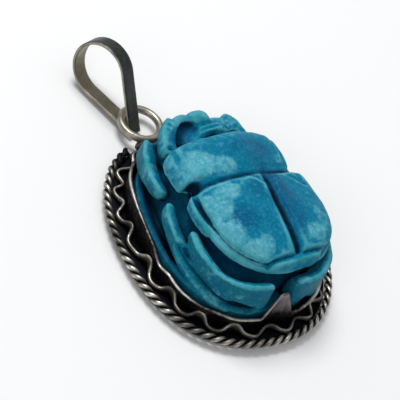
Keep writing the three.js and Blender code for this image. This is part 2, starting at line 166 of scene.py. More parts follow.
SHOULDER = dict(thick=0.45, tall=0.75, axis=0.0,
                route=((6.1, 1.3, 8.1), (6.35, 0.2, 7.9), (6.35, -1.4, 7.8), (5.9, -3.6, 7.9)))
LEGS = (FORELEG, FRONT_LEG, MIDDLE_LEG, HIND_LEG, SHOULDER)
LEG_ROUNDING = 12
LEG_END = 0.12

# Grooves of the scarab, in millimetres: those of the wing cases run on their own plan
SEAM = ((1.3, 3.2), (0.85, 0.0), (0.45, -3.4), (0.2, -6.7))
WING_GROOVES = (
    dict(line=((-3.5, -7.05), (0.7, -6.95), (3.9, -6.7), (4.8, -6.2)), radius=0.5, depth=0.4),
    dict(line=((1.0, 1.4), (0.1, 2.6), (-1.2, 3.4)), radius=0.85, depth=0.42),
    dict(line=((-6.4, 1.9), (-4.8, 2.3), (-3.0, 2.6)), radius=0.95, depth=0.3),
)
WING_NOTCHES = (dict(line=((5.9, 3.0), (6.0, 1.3)), radius=0.6, depth=0.24),
                dict(line=((4.7, 2.6), (6.0, 1.3)), radius=0.6, depth=0.2))
WING_BORDER = 0.988
WING_BORDER_TURNS = (74.0, 156.0)
PRONOTUM_BORDER = ((0.86, 0.7), (0.9, 0.2), (0.88, -0.4), (0.82, -0.8))
PRONOTUM_BORDER_DEPTH = 0.6
PRONOTUM_OVERHANG = 1.04
FLANK_GROOVES = (
    dict(line=((6.5, 8.8, 3.9), (7.7, 6.0, 3.9), (8.3, 3.0, 3.9), (8.5, 0.0, 3.8),
               (8.3, -2.8, 3.6)), radius=0.6, depth=0.8),
    dict(line=((8.6, -3.0, 5.2), (8.2, -5.3, 4.7), (7.1, -7.8, 4.3), (5.3, -9.8, 3.9),
               (3.0, -10.6, 3.4)), radius=0.75, depth=0.9),
)
HEAD_PIT = dict(line=((-3.9, 7.9, 7.5), (-3.2, 8.6, 7.6), (-2.5, 9.2, 7.7)), radius=1.7, depth=0.5)
HEAD_SLOT = dict(line=((-5.4, 7.3, 7.4), (-3.0, 7.5, 7.5), (0.0, 7.75, 7.6), (3.4, 8.05, 7.4)),
                 radius=0.6, depth=0.8)
BROW_LINE = dict(line=((-1.6, 8.45, 8.6), (-0.1, 8.6, 8.7), (1.5, 8.78, 8.6)), radius=0.34, depth=0.22)
EYE = dict(x=2.6, y=8.9, level=7.9, reach=0.36, radius=0.28, depth=0.2)
TEETH = 7.0
TOOTH_DEPTH = 0.13
TEETH_STEPS = 90
TEETH_STRIDE = 6
SLOPE_FALL = 1.1
# Unevenness left by hand: strength, size and seed
LUMPS = ((1.0, 2.6, 1), (0.5, 1.0, 2), (0.28, 0.45, 3))
# Rounds of smoothing that the fine and the broad relief are measured from
FINE_ROUNDS = 14
BROAD_ROUNDS = 130

# Soft steps of the scarab's masks: where each starts and where it is full, in millimetres
SLOPE_ACROSS, SLOPE_REAR, SLOPE_FRONT, SLOPE_LEVEL = (0.5, 5.5), (-8.0, 2.0), (9.5, 7.5), (7.0, 8.6)
# Steps of the wall, ledge, hollows, foot and recess set painted shade; the side steps also paint shade
# on sideways faces
WALL_DEPTH, WALL_FOOT, WALL_TOP = (0.55, 0.1), (3.4, 3.9), (7.7, 7.2)
LEDGE_PLAN, LEDGE_FOOT, LEDGE_TOP, LEDGE_REACH = (0.93, 0.83), (1.8, 2.3), (4.2, 3.8), (-6.0, -3.0)
HOLLOW_FINE, HOLLOW_BROAD, HOLLOW_CUT = (0.015, 0.08), (0.03, 0.5), (0.3, 0.6)
FOOT_LEVEL, FOOT_REACH = (3.9, 3.3), (-8.0, -5.0)
RECESS_REACH, RECESS_CUT = (2.2, 1.2), (0.05, 0.35)
SIDE_FACING, SIDE_LEVEL, FLANK_LEVEL = (0.6, 0.1), (7.2, 6.6), (6.4, 4.4)
DEEP_LEVEL, PALE_LEVEL = (6.8, 3.6), (6.6, 7.4)

# Patches of glaze on the back: x, y, reach along x and y, strength
PALE_PATCHES = (
    (-4.6, 3.6, 2.3, 1.7, 1.0), (-2.4, 3.0, 2.2, 1.3, 0.75), (-5.7, -2.2, 0.9, 2.6, 0.9),
    (-5.0, -5.2, 1.6, 2.0, 0.9), (-3.2, -7.2, 2.2, 1.2, 1.0), (-3.2, -0.2, 1.5, 1.3, 0.9),
    (-4.8, -1.7, 1.3, 2.0, 0.85), (-1.8, -6.4, 1.0, 0.6, 0.7),
    (4.6, -6.4, 1.6, 1.3, 0.75), (6.2, -4.6, 0.8, 2.0, 0.55), (5.8, 3.6, 1.0, 0.8, 0.4),
    (-2.8, 10.1, 1.6, 0.9, 0.8), (0.2, 10.3, 2.0, 0.6, 0.7), (2.8, 9.6, 1.4, 0.8, 0.5),
)
# Pools of deep glaze; those on and beside the seam are painted shade
DEEP_POOLS_AND_SHADE = (
    (-2.9, -3.7, 1.7, 1.7, 1.0), (2.6, -2.6, 2.2, 3.6, 0.9), (2.4, 4.6, 3.4, 1.5, 0.9),
    (-0.2, -0.8, 1.0, 1.6, 0.7), (-0.4, -4.6, 0.5, 2.6, 0.4), (3.0, 0.4, 0.9, 3.0, 1.0),
    (2.6, -3.6, 0.9, 3.2, 1.0),
)
# Spots of glaze on the flanks: x, y, z, reach, strength
FLANK_PALE = (
    (-7.9, 6.2, 5.6, 1.4, 0.9), (-7.7, 3.6, 5.6, 1.0, 0.8), (-8.7, 0.9, 6.0, 0.9, 0.75),
    (-8.6, -2.0, 5.3, 1.0, 0.6), (-7.0, -6.6, 6.3, 1.1, 0.75), (-4.8, -9.6, 5.6, 1.0, 0.5),
    (-6.4, -8.4, 3.9, 1.2, 0.85), (-5.4, 9.2, 7.8, 1.2, 0.9), (-5.9, 7.4, 7.2, 0.9, 0.8),
    (3.6, -9.6, 5.6, 1.2, 0.5), (7.6, 5.0, 5.6, 1.2, 0.7), (7.4, -4.6, 5.9, 1.3, 0.6),
)
# Spots of painted shade on the flanks and the rear
FLANK_SHADE = (
    (-7.2, -1.0, 6.2, 1.2, 0.9), (-6.9, -3.4, 5.6, 1.2, 0.9), (-6.4, -5.6, 5.0, 1.2, 0.9),
    (-6.5, 6.6, 5.9, 1.1, 0.8), (-6.8, 4.2, 6.1, 1.1, 0.8), (0.9, -9.6, 6.4, 1.5, 0.9),
    (-4.4, -10.0, 4.6, 1.4, 0.8), (-2.2, -10.4, 4.6, 1.4, 0.7), (-6.2, -8.6, 5.0, 1.2, 0.7),
)

# Jump ring and bail, in millimetres and degrees
RING_RADIUS = 2.2
RING_STEPS = 96
RING_SIDES = 20
RING_CENTRE = (-2.5, 14.85, 1.42)
RING_DROOP = -5.0
SOLDER_PLACES = ((-0.85, 12.5), (0.85, 12.5))
SOLDER_REACH = (0.6, 0.5, 0.9)
SOLDER_STEPS = (40, 14)
SOLDER_LUMPS = 0.08
SOLDER_BARE = 0.02
BAIL_LENGTH = 10.8
BAIL_BEND_RADIUS = 3.3
BAIL_TIP = (-2.95, 14.35, 0.52)
BAIL_YAW = 22.0
BAIL_LEAN = -6.6
BAIL_LIFT = 24.0
BAIL_EDGE = 0.09
BAIL_BAND = 0.3
# Bail: part of the thickness from outside, side of the strip, inset from its edge, and wear
BAIL_SECTION = ((0.0, -1, BAIL_EDGE, 0.5), (0.0, -1, BAIL_BAND, 0.3), (0.0, 0, 0.0, 0.35),
                (0.0, 1, BAIL_BAND, 0.3), (0.0, 1, BAIL_EDGE, 0.5), (0.3, 1, 0.0, 0.85),
                (0.7, 1, 0.0, 0.85), (1.0, 1, BAIL_EDGE, 0.5), (1.0, 1, BAIL_BAND, 0.3),
                (1.0, 0, 0.0, 0.3), (1.0, -1, BAIL_BAND, 0.3), (1.0, -1, BAIL_EDGE, 0.5),
                (0.7, -1, 0.0, 0.85), (0.3, -1, 0.0, 0.85))

# Camera of the photograph: direction and roll in degrees, distance and framing in millimetres
CAMERA_AZIMUTH = -51.7
CAMERA_ELEVATION = 45.2
CAMERA_ROLL = 33.0
CAMERA_DISTANCE = 240.0
CAMERA_OFFSET = (-1.5, 4.4)
CAMERA_FOCAL_PX = 2335.2
PICTURE_PX = 400.0
SENSOR_MM = 36.0

# Stage, in metres and watts
FLOOR_HALF = 1.5
FLOOR_SHADE = 0.985
KEY_LIGHT = dict(place=(-0.05, 0.22, 0.42), size=0.22, power=1.5)
SIDE_LIGHT = dict(place=(-0.34, -0.16, 0.26), size=0.2, power=0.22)
WORLD_COLOUR = (0.97, 0.98, 1.0, 1.0)
WORLD_STRENGTH = 0.45


def linear(red, green, blue):
    """Screen colour from 0 to 255 as linear light."""
    def one(value):
        value /= 255.0
        return value / 12.92 if value <= 0.04045 else ((value + 0.055) / 1.055) ** 2.4
    return (one(red), one(green), one(blue))


def length(name, description, millimetres):
    return bpy.props.FloatProperty(name=name, description=description, default=millimetres * MM,
                                   min=0.0, unit="LENGTH", precision=5)


def colour(name, description, red, green, blue):
    return bpy.props.FloatVectorProperty(name=name, description=description, size=3, min=0.0, max=1.0,
                                         subtype="COLOR", default=linear(red, green, blue))


class PendantSizes(bpy.types.PropertyGroup):
    """Sizes of the carving and of the metal work"""
    carving_grain: length("Carving grain", "Edge length of the scarab's mesh", 0.13)
    carving_wobble: length("Carving wobble", "Unevenness left by hand carving", 0.11)
    seam_radius: length("Seam radius", "Half width of the seam between the wing cases", 0.9)
    seam_depth: length("Seam depth", "Depth of the seam between the wing cases", 0.62)
    groove_radius: length("Groove radius", "Half width of the groove behind the pronotum", 0.95)
    groove_depth: length("Groove depth", "Depth of the groove behind the pronotum", 0.6)
    line_radius: length("Line radius", "Half width of the incised border lines", 0.5)
    line_depth: length("Line depth", "Depth of the incised border lines", 0.36)
    rope_diameter: length("Rope diameter", "Across both strands of the rope", 0.9)
    rope_pitch: length("Rope pitch", "Length of one full turn of the strands", 2.24)
    wire_width: length("Wavy wire width", "Thickness of the wavy ribbon", 0.34)
    wire_height: length("Wavy wire height", "Height of the wavy ribbon", 0.6)
    ring_wire: length("Ring wire", "Diameter of the jump ring's wire", 0.84)
    bail_width: length("Bail width", "Width of the bail's strip", 1.9)
    bail_thickness: length("Bail thickness", "Thickness of the bail's strip", 0.32)


class PendantColours(bpy.types.PropertyGroup):
    """Colours of the glaze and of the silver"""
    glaze_mid: colour("Glaze", "Glaze of an even thickness", 0, 112, 145)
    # Pooled glaze, and also painted shade on sideways faces, the flanks, the rear and the head's recess
    glaze_deep_and_shade: colour("Deep glaze", "Glaze that has pooled", 0, 78, 122)
    glaze_flank: colour("Flank glaze", "Greenish glaze on the sides of the legs", 10, 102, 112)
    glaze_pale: colour("Pale glaze", "Glaze worn thin over the pale body", 88, 170, 186)
    glaze_frost: colour("Frosted glaze", "Palest flecks where the body shows", 142, 200, 208)
    glaze_green: colour("Green glaze", "Thin glaze along worn edges", 40, 146, 148)
    # Painted shade in the shallow hollows and grooves
    glaze_shadow: colour("Shallow groove", "Thick glaze in the shallow grooves", 0, 62, 92)
    # Painted shade, the darkest, in the deepest hollows, grooves and recesses
    glaze_groove_shade: colour("Groove", "Dark glaze and dirt in the grooves", 0, 20, 36)
    silver_black: colour("Black silver", "Blackened silver in the hollows", 8, 12, 18)
    silver_grey: colour("Grey silver", "Dulled silver", 112, 108, 100)
    silver_bright: colour("Bright silver", "Silver worn bright", 226, 221, 210)
    # Painted dark reflection on the bail's outside; the same colour is also the back plate's grey tone
    bail_reflection_and_plate_grey: colour("Bail outside", "Slate grey outside of the bail", 58, 66, 67)
    bail_inside: colour("Bail inside", "Brownish inside of the bail", 142, 134, 114)
    bail_edge: colour("Bail edge", "Worn edge of the bail", 168, 163, 148)
    ring_bright: colour("Ring", "Silver of the jump ring", 200, 195, 180)
    claw_grey: colour("Claw", "Mauve grey of the tail claw", 128, 120, 122)
    floor: colour("Floor", "Pale floor", 246, 246, 246)


def oval_points(half_width, half_length, squareness, angles):
    """Points of an oval that is squarer the more its squareness is above 2."""
    power = 2.0 / squareness
    c, s = np.cos(angles), np.sin(angles)
    return np.stack([half_width * np.sign(c) * np.abs(c) ** power,
                     half_length * np.sign(s) * np.abs(s) ** power], -1)


def mount_points(inset, squareness, angles):
    """Points of the mount's oval, moved inwards by an inset that may change on the way."""
    unit_x = oval_points(1.0, 1.0, squareness, angles)
    return np.stack([(MOUNT_HALF_WIDTH - inset) * unit_x[:, 0],
                     (MOUNT_HALF_LENGTH - inset) * unit_x[:, 1]], -1)


def turns(count):
    return np.linspace(0.0, TURN, count, endpoint=False)


def at_level(plan, level):
    """Points of a plan, lifted to a level."""
    return np.column_stack([plan, np.full(len(plan), level)])


def skin(rings, closed):
    """Points and faces of a tube through equal rings; an open one is capped."""
    count, sides = rings.shape[:2]
    i = np.arange(count if closed else count - 1)[:, None]
    j = np.arange(sides)[None, :]
    k, n = (j + 1) % sides, (i + 1) % count
    faces = np.stack([i * sides + j, i * sides + k, n * sides + k, n * sides + j], -1)
    faces = faces.reshape(-1, 4).tolist()
    if not closed:
        faces.append(list(range(sides))[::-1])
        faces.append([(count - 1) * sides + q for q in range(sides)])
    return rings.reshape(-1, 3), faces


def joined(shells):
    """Several shells as one list of points and faces."""
    points, faces, start = [], [], 0
    for shell_points, shell_faces in shells:
        points.append(shell_points)
        faces.extend([[index + start for index in face] for face in shell_faces])
        start += len(shell_points)
    return np.concatenate(points), faces


def turned(points, yaw, x, y):
    """Points turned about the vertical and moved to their place."""
    c, s = math.cos(math.radians(yaw)), math.sin(math.radians(yaw))
    return np.stack([c * points[:, 0] - s * points[:, 1] + x,
                     s * points[:, 0] + c * points[:, 1] + y, points[:, 2]], -1)


def placed(form, points):
    return turned(points, form["yaw"], form["x"], form["y"])


def plan_half(form, forward):
    """Reach and squareness of a form's front or rear half."""
    reach = np.where(forward, form["forward"], form["rearward"])
    return reach, np.where(forward, form["front"], form["rear"])


def plan_points(form, angles):
    reach, squareness = plan_half(form, np.sin(angles) >= 0.0)
    return oval_points(form["half_width"], reach, squareness, angles)


def dome(form, count=200, rows=48):
    """Flat-bottomed dome of a form, in its place."""
    power = 2.0 / form.get("crispness", RISE_SQUARENESS)
    tilt = np.linspace(0.0, 0.5 * math.pi, rows + 1)
    spread = np.maximum(0.02, np.cos(tilt).clip(0.0) ** power)
    level = form["foot"] + form["rise"] * np.sin(tilt) ** power
    plan = plan_points(form, turns(count))
    rings = np.empty((rows + 1, count, 3))
    rings[:, :, :2] = plan[None] * spread[:, None, None]
    rings[:, :, 2] = level[:, None]
    points, faces = skin(rings, False)
    return placed(form, points), faces


def on_dome(form, line):
    """Points of a dome's surface, in its place, above a line of its own plan."""
    x, y = np.asarray(line, float).T
    reach, squareness = plan_half(form, y >= 0.0)
    plan = np.abs(x / form["half_width"]) ** squareness + np.abs(y / reach) ** squareness
    crispness = form.get("crispness", RISE_SQUARENESS)
    spread = plan ** (crispness / squareness)
    level = form["foot"] + form["rise"] * np.maximum(0.0, 1.0 - spread) ** (1.0 / crispness)
    return placed(form, np.stack([x, y, level], -1))


def drum(half_width, half_length, squareness, profile, axis, count=240):
    """Stack of ovals, widened and lifted by the steps of a profile."""
    rings = []
    for spread, level in profile:
        plan = oval_points(half_width + spread, half_length + spread, squareness, turns(count))
        rings.append(at_level(plan + (axis, 0.0), level))
    return skin(np.array(rings), False)


def smooth_line(points, count):
    """Evenly spaced points of a smooth curve through the given ones."""
    p = np.asarray(points, float)
    p = np.concatenate([[2 * p[0] - p[1]], p, [2 * p[-1] - p[-2]]])
    t = np.linspace(0.0, 1.0, 24, endpoint=False)[:, None]
    spans = []
    for a, b, c, d in zip(p, p[1:], p[2:], p[3:]):
        spans.append(0.5 * (2 * b + (c - a) * t + (2 * a - 5 * b + 4 * c - d) * t ** 2
                            + (3 * b - a - 3 * c + d) * t ** 3))
    dense = np.concatenate(spans + [p[-2:-1]])
    run = np.concatenate([[0.0], np.cumsum(np.linalg.norm(np.diff(dense, axis=0), axis=1))])
    even = np.linspace(0.0, run[-1], count)
    return np.stack([np.interp(even, run, dense[:, k]) for k in range(dense.shape[1])], -1)


def unit(vectors):
    return vectors / np.linalg.norm(vectors, axis=-1, keepdims=True)


def mirrored(line, side, axis, lift=0.0):
    """A line of the right flank on either flank."""
    return np.array(line) * (side, 1.0, 1.0) + (axis, 0.0, lift)


def limb(leg, side, steps=60, sides=28):
    """Leg with a ridge near its outer edge, rounded off at both ends."""
    lift = leg.get("right_lift", 0.0) * max(0.0, side)
    line = smooth_line(mirrored(leg["route"], side, leg["axis"], lift), steps)
    along = unit(np.gradient(line, axis=0))
    across = unit(np.cross(UP, along))
    rise = np.cross(along, across)
    part = np.linspace(-1.0, 1.0, steps)
    thin = np.maximum(LEG_END, np.sqrt(1.0 - np.abs(part) ** LEG_ROUNDING))
    section = oval_points(leg["thick"], leg["tall"], LEG_SQUARENESS, turns(sides))
    fall = leg.get("slope", 0.0) * np.maximum(0.0, LEG_RIDGE - side * section[:, 0] / leg["thick"])
    section[:, 1] -= leg["tall"] * fall * (section[:, 1] > 0.0)
    swell = (1.0 + leg.get("growth", 0.0) * part)[:, None, None]
    spread = (1.0 + leg.get("spread", 0.0) * part)[:, None, None]
    rings = (line[:, None] + thin[:, None, None] * (section[None, :, :1] * spread * across[:, None]
                                                    + section[None, :, 1:] * swell * rise[:, None]))
    return skin(rings, False)


def make_mesh(name, points, faces):
    mesh = bpy.data.meshes.new(name)
    mesh.from_pydata(points.tolist(), [], faces)
    mesh.update()
    return mesh


def coordinates(mesh):
    flat = np.empty(len(mesh.vertices) * 3)
    mesh.vertices.foreach_get("co", flat)
    return flat.reshape(-1, 3)


def normals(mesh):
    flat = np.empty(len(mesh.vertices) * 3)
    mesh.vertex_normals.foreach_get("vector", flat)
    return flat.reshape(-1, 3)


def set_coordinates(mesh, points):
    mesh.vertices.foreach_set("co", points.ravel())
    mesh.update()


def edge_ends(mesh):
    flat = np.empty(len(mesh.edges) * 2, np.int32)
    mesh.edges.foreach_get("vertices", flat)
    return flat[0::2], flat[1::2]


def relaxed(values, ends, rounds):
    """Values evened out along the edges of a mesh."""
    a, b = ends
    count = len(values)
    degree = np.bincount(a, minlength=count) + np.bincount(b, minlength=count)
    for _ in range(rounds):
        total = np.stack([np.bincount(a, values[b, k], count) + np.bincount(b, values[a, k], count)
                          for k in range(values.shape[1])], -1)
        values = 0.5 * values + 0.5 * total / degree[:, None]
    return values


def step(values, low, high):
    """Smooth rise from 0 at low to 1 at high."""
    t = np.clip((values - low) / (high - low), 0.0, 1.0)
    return t * t * (3.0 - 2.0 * t)


def waves(points, size, seed):
    """Soft noise between about -1 and 1 over features of a size in millimetres."""
    shift = Vector((seed * 7.13, seed * 3.71, seed * 5.37))
    return np.array([noise.noise(Vector(p) / size + shift) for p in points.tolist()])


def distance(points, line):
    """Distance of each point to the nearest point of a dense line."""
    best = np.full(len(points), 1e9)
    low, high = line.min(0) - 2.0, line.max(0) + 2.0
    near = np.flatnonzero(np.all((points > low) & (points < high), axis=1))
    for start in range(0, len(near), 4000):
        rows = near[start:start + 4000]
        gap = np.linalg.norm(points[rows, None] - line[None], axis=2)
        best[rows] = gap.min(1)
    return best


def set_mask(mesh, name, values):
    mask = mesh.attributes.new(name, "FLOAT", "POINT")
    mask.data.foreach_set("value", np.asarray(values, np.float32))


def finish_piece(name, mesh, material, node):
    """Object of a mesh in millimetres, set smooth, riding on the part in place of its solid."""
    mesh.transform(Matrix.Scale(MM, 4))
    mesh.polygons.foreach_set("use_smooth", [True] * len(mesh.polygons))
    mesh.materials.append(material)
    piece = bpy.data.objects.new(name, mesh)
    bpy.context.scene.collection.objects.link(piece)
    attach(piece, "root")
    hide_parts(node)
    return piece


def add(tree, kind, inputs=None, **settings):
    """Node with its settings, and its inputs linked or set."""
    new = tree.nodes.new(kind)
    for key, value in settings.items():
        setattr(new, key, value)
    for key, value in (inputs or {}).items():
        if isinstance(value, bpy.types.NodeSocket):
            tree.links.new(value, new.inputs[key])
        else:
            new.inputs[key].default_value = value
    return new


def blend(tree, factor, first, second):
    """Colour between two colours."""
    mix = add(tree, "ShaderNodeMix", data_type="RGBA", clamp_factor=True)
    for index, value in ((0, factor), (6, first), (7, second)):
        if isinstance(value, bpy.types.NodeSocket):
            tree.links.new(value, mix.inputs[index])
        else:
            mix.inputs[index].default_value = value if index == 0 else (*value, 1.0)
    return mix.outputs[2]


def sums(tree, operation, first, second, clamp=True):
    return add(tree, "ShaderNodeMath", {0: first, 1: second}, operation=operation,
               use_clamp=clamp).outputs[0]


def times(tree, first, second):
    return sums(tree, "MULTIPLY", first, second)


def mask(tree, name):
    return add(tree, "ShaderNodeAttribute", attribute_name=name).outputs["Fac"]


def between(tree, value, low, high, start=0.0, end=1.0):
    return add(tree, "ShaderNodeMapRange", {"Value": value, "From Min": low, "From Max": high,
                                            "To Min": start, "To Max": end}).outputs["Result"]


def new_group(name, inputs, output):
    group = bpy.data.node_groups.new(name, "ShaderNodeTree")
    for label, value in inputs:
        socket = group.interface.new_socket(label, in_out="INPUT", socket_type="NodeSocketFloat")
        socket.default_value = value
    group.interface.new_socket(output, in_out="OUTPUT", socket_type="NodeSocketFloat")
    return group, group.nodes.new("NodeGroupInput"), group.nodes.new("NodeGroupOutput")


def mottle_group():
    """Blotchy mask over the surface: features of a scale, cut between two levels."""
    known = bpy.data.node_groups.get("surface mottle")
    if known:
        return known
    group, entry, leave = new_group(
        "surface mottle", (("Scale", 600.0), ("Detail", 4.0), ("Low", 0.4), ("High", 0.6)), "Mask")
    place = add(group, "ShaderNodeTexCoord").outputs["Object"]
    blotch = add(group, "ShaderNodeTexNoise", {
        "Vector": place, "Scale": entry.outputs["Scale"], "Detail": entry.outputs["Detail"],
        "Roughness": 0.6})
    cut = between(group, blotch.outputs["Fac"], entry.outputs["Low"], entry.outputs["High"])
    group.links.new(cut, leave.inputs["Mask"])
    return group


def wear_group():
    """Worn mask: where a relief stands proud, broken up by fine blotches."""
    known = bpy.data.node_groups.get("edge wear")
    if known:
        return known
    group, entry, leave = new_group(
        "edge wear", (("Relief", 0.0), ("Low", 0.2), ("High", 0.8), ("Break-up", 0.4),
                      ("Scale", 1500.0)), "Mask")
    place = add(group, "ShaderNodeTexCoord").outputs["Object"]
    fine = add(group, "ShaderNodeTexNoise", {"Vector": place, "Scale": entry.outputs["Scale"],
                                             "Detail": 3.0, "Roughness": 0.6}).outputs["Fac"]
    centred = sums(group, "SUBTRACT", fine, 0.5, False)
    shaken = sums(group, "MULTIPLY", centred, entry.outputs["Break-up"], False)
    raised = sums(group, "ADD", entry.outputs["Relief"], shaken, False)
    cut = between(group, raised, entry.outputs["Low"], entry.outputs["High"])
    group.links.new(cut, leave.inputs["Mask"])
    return group


def mottle(tree, scale, low, high, detail=4.0):
    return add(tree, "ShaderNodeGroup", {"Scale": scale, "Detail": detail, "Low": low, "High": high},
               node_tree=mottle_group()).outputs["Mask"]


def worn(tree, relief, low, high, breakup, scale):
    return add(tree, "ShaderNodeGroup", {"Relief": relief, "Low": low, "High": high,
                                         "Break-up": breakup, "Scale": scale},
               node_tree=wear_group()).outputs["Mask"]


def new_material(name):
    material = bpy.data.materials.new(name)
    material.use_nodes = True
    tree = material.node_tree
    tree.nodes.clear()
    shader = add(tree, "ShaderNodeBsdfPrincipled")
    add(tree, "ShaderNodeOutputMaterial", {"Surface": shader.outputs[0]})
    return material, tree, shader


def bump(tree, shader, height, depth_mm, strength=1.0):
    raised = add(tree, "ShaderNodeBump", {"Height": height, "Distance": depth_mm * MM,
                                          "Strength": strength})
    tree.links.new(raised.outputs["Normal"], shader.inputs["Normal"])


def glaze_material(colours):
    """Turquoise glaze: pooled deep with painted shade on its sides, worn pale on ridges and patches,
    painted shade in the grooves.
    """
    material, tree, shader = new_material("turquoise glaze")
    relief, hollow_shade = mask(tree, "relief"), mask(tree, "hollow_shade")
    pale, deep = mask(tree, "pale"), mask(tree, "deep")
    # Deep glaze where it pools, with painted shade on the sides, the flanks and the recess
    body = blend(tree, times(tree, deep, mottle(tree, 260.0, 0.25, 0.6)),
                 colours.glaze_mid, colours.glaze_deep_and_shade)
    flank = times(tree, mask(tree, "flank"), mottle(tree, 700.0, 0.25, 0.6, 5.0))
    body = blend(tree, times(tree, flank, 0.75), body, colours.glaze_flank)
    cloud = mottle(tree, 900.0, 0.44, 0.74, 8.0)
    patch = worn(tree, pale, 0.25, 0.95, 1.7, 1500.0)
    frost = times(tree, mottle(tree, 3400.0, 0.5, 0.7, 3.0), 0.2)
    thin = sums(tree, "ADD", times(tree, patch, 0.8),
                sums(tree, "ADD", frost, times(tree, cloud, 0.05)))
    body = blend(tree, thin, body, colours.glaze_pale)
    fleck = times(tree, patch, mottle(tree, 2600.0, 0.5, 0.68, 5.0))
    body = blend(tree, times(tree, fleck, 0.55), body, colours.glaze_frost)
    ridge = worn(tree, relief, 0.18, 0.95, 1.5, 2100.0)
    edge = blend(tree, mottle(tree, 500.0, 0.4, 0.65), colours.glaze_pale, colours.glaze_green)
    body = blend(tree, times(tree, ridge, 0.8), body, edge)
    # Painted shade in the hollows: a shallow tone, then the darkest in the deepest
    body = blend(tree, worn(tree, hollow_shade, 0.05, 0.6, 0.4, 1200.0), body, colours.glaze_shadow)
    body = blend(tree, worn(tree, hollow_shade, 0.5, 1.1, 0.3, 900.0), body, colours.glaze_groove_shade)
    tree.links.new(body, shader.inputs["Base Color"])
    tree.links.new(between(tree, thin, 0.0, 1.0, 0.5, 0.66), shader.inputs["Roughness"])
    shader.inputs["Specular IOR Level"].default_value = 0.1
    shader.inputs["Specular Tint"].default_value = (0.2, 0.75, 1.0, 1.0)
    grain = sums(tree, "ADD", times(tree, mottle(tree, 1400.0, 0.3, 0.7, 5.0), 0.6),
                 times(tree, mottle(tree, 4200.0, 0.3, 0.7, 3.0), 0.3))
    bump(tree, shader, grain, 0.07, 0.8)
    return material


def silver_material(name, dark, grey, bright, low, high, breakup, rough):
    """Silver that is blackened in its hollows and worn bright where it stands proud."""
    known = bpy.data.materials.get(name)
    if known:
        return known
    material, tree, shader = new_material(name)
    relief = mask(tree, "wear")
    middle = 0.5 * (low + high)
    tone = blend(tree, worn(tree, relief, low, middle, breakup, 1500.0), dark, grey)
    shine = worn(tree, relief, middle, high, breakup, 2300.0)
    tone = blend(tree, shine, tone, bright)
    stain = mottle(tree, 900.0, 0.5, 0.72)
    tone = blend(tree, times(tree, stain, 0.4), tone, dark)
    tree.links.new(tone, shader.inputs["Base Color"])
    tree.links.new(between(tree, shine, 0.0, 1.0, rough + 0.16, rough), shader.inputs["Roughness"])
    shader.inputs["Metallic"].default_value = 0.9
    bump(tree, shader, mottle(tree, 3000.0, 0.25, 0.75), 0.02, 0.5)
    return material


def groove(points, line, radius, depth):
    """How deep a rounded groove along a line is at each point."""
    near = np.clip(distance(points, line) / radius, 0.0, 1.0)
    return depth * (1.0 - near ** 2) ** 1.5


def cut_along(points, cut, steps):
    return groove(points, smooth_line(cut["line"], steps), cut["radius"], cut["depth"])


def elytra_line(line, count=120):
    return on_dome(ELYTRA, smooth_line(line, count))


def elytra_border(side):
    """Incised line inside the rim of a wing case, from its notch to the rear line."""
    angles = np.radians(90.0 + side * np.linspace(*WING_BORDER_TURNS, 24))
    return elytra_line(plan_points(ELYTRA, angles) * WING_BORDER, 200)


def behind_pronotum():
    """Line of the pronotum's rear edge on the front of the wing cases."""
    across = np.linspace(-PRONOTUM_OVERHANG, PRONOTUM_OVERHANG, 60) * PRONOTUM["half_width"]
    edge = placed(PRONOTUM, np.stack(np.broadcast_arrays(across, -PRONOTUM["rearward"], 0.0), -1))
    local = turned(edge - (ELYTRA["x"], ELYTRA["y"], 0.0), -ELYTRA["yaw"], 0.0, 0.0)
    return smooth_line(on_dome(ELYTRA, local[:, :2]), 220)


def carve(points, sizes):
    """Depth of all the grooves cut into the scarab at each point."""
    line_radius, line_depth = sizes.line_radius / MM, sizes.line_depth / MM
    cuts = [groove(points, elytra_line(SEAM), sizes.seam_radius / MM, sizes.seam_depth / MM),
            groove(points, behind_pronotum(), sizes.groove_radius / MM, sizes.groove_depth / MM),
            cut_along(points, HEAD_PIT, 60), cut_along(points, HEAD_SLOT, 120),
            cut_along(points, BROW_LINE, 60)]
    for cut in WING_GROOVES:
        cuts.append(groove(points, elytra_line(cut["line"]), cut["radius"], cut["depth"]))
    for side in SIDES:
        cuts.append(groove(points, elytra_border(side), line_radius, line_depth))
        edge = np.array(PRONOTUM_BORDER) * (side * PRONOTUM["half_width"], PRONOTUM["forward"])
        cuts.append(groove(points, on_dome(PRONOTUM, smooth_line(edge, 80)), line_radius,
                           PRONOTUM_BORDER_DEPTH * line_depth))
        for cut in WING_NOTCHES:
            notch = elytra_line(np.array(cut["line"]) * (side, 1.0))
            cuts.append(groove(points, notch, cut["radius"], cut["depth"]))
        for cut in FLANK_GROOVES:
            flank = dict(cut, line=mirrored(cut["line"], side, HIND_LEG["axis"]))
            cuts.append(cut_along(points, flank, 160))
        cuts.append(serrations(points, side))
    eye = oval_points(EYE["reach"], EYE["reach"], 2.0, turns(60)) + (EYE["x"], EYE["y"])
    cuts.append(groove(points, at_level(eye, EYE["level"]), EYE["radius"], EYE["depth"]))
    return np.max(cuts, axis=0)


def serrations(points, side):
    """Short notches across the foreleg beside the head."""
    line = smooth_line(mirrored(FORELEG["route"], side, FORELEG["axis"]), TEETH_STEPS)
    away = np.linalg.norm(points[:, None, :] - line[None, ::TEETH_STRIDE], axis=2)
    along = np.argmin(away, axis=1) * TEETH_STRIDE
    near = step(distance(points, line), FORELEG["tall"] + 0.3, FORELEG["tall"] - 0.1)
    upper = step(points[:, 2] - line[along, 2], 0.1, 0.6)
    teeth = 0.5 + 0.5 * np.cos(along / TEETH_STEPS * TURN * TEETH)
    return TOOTH_DEPTH * near * upper * teeth


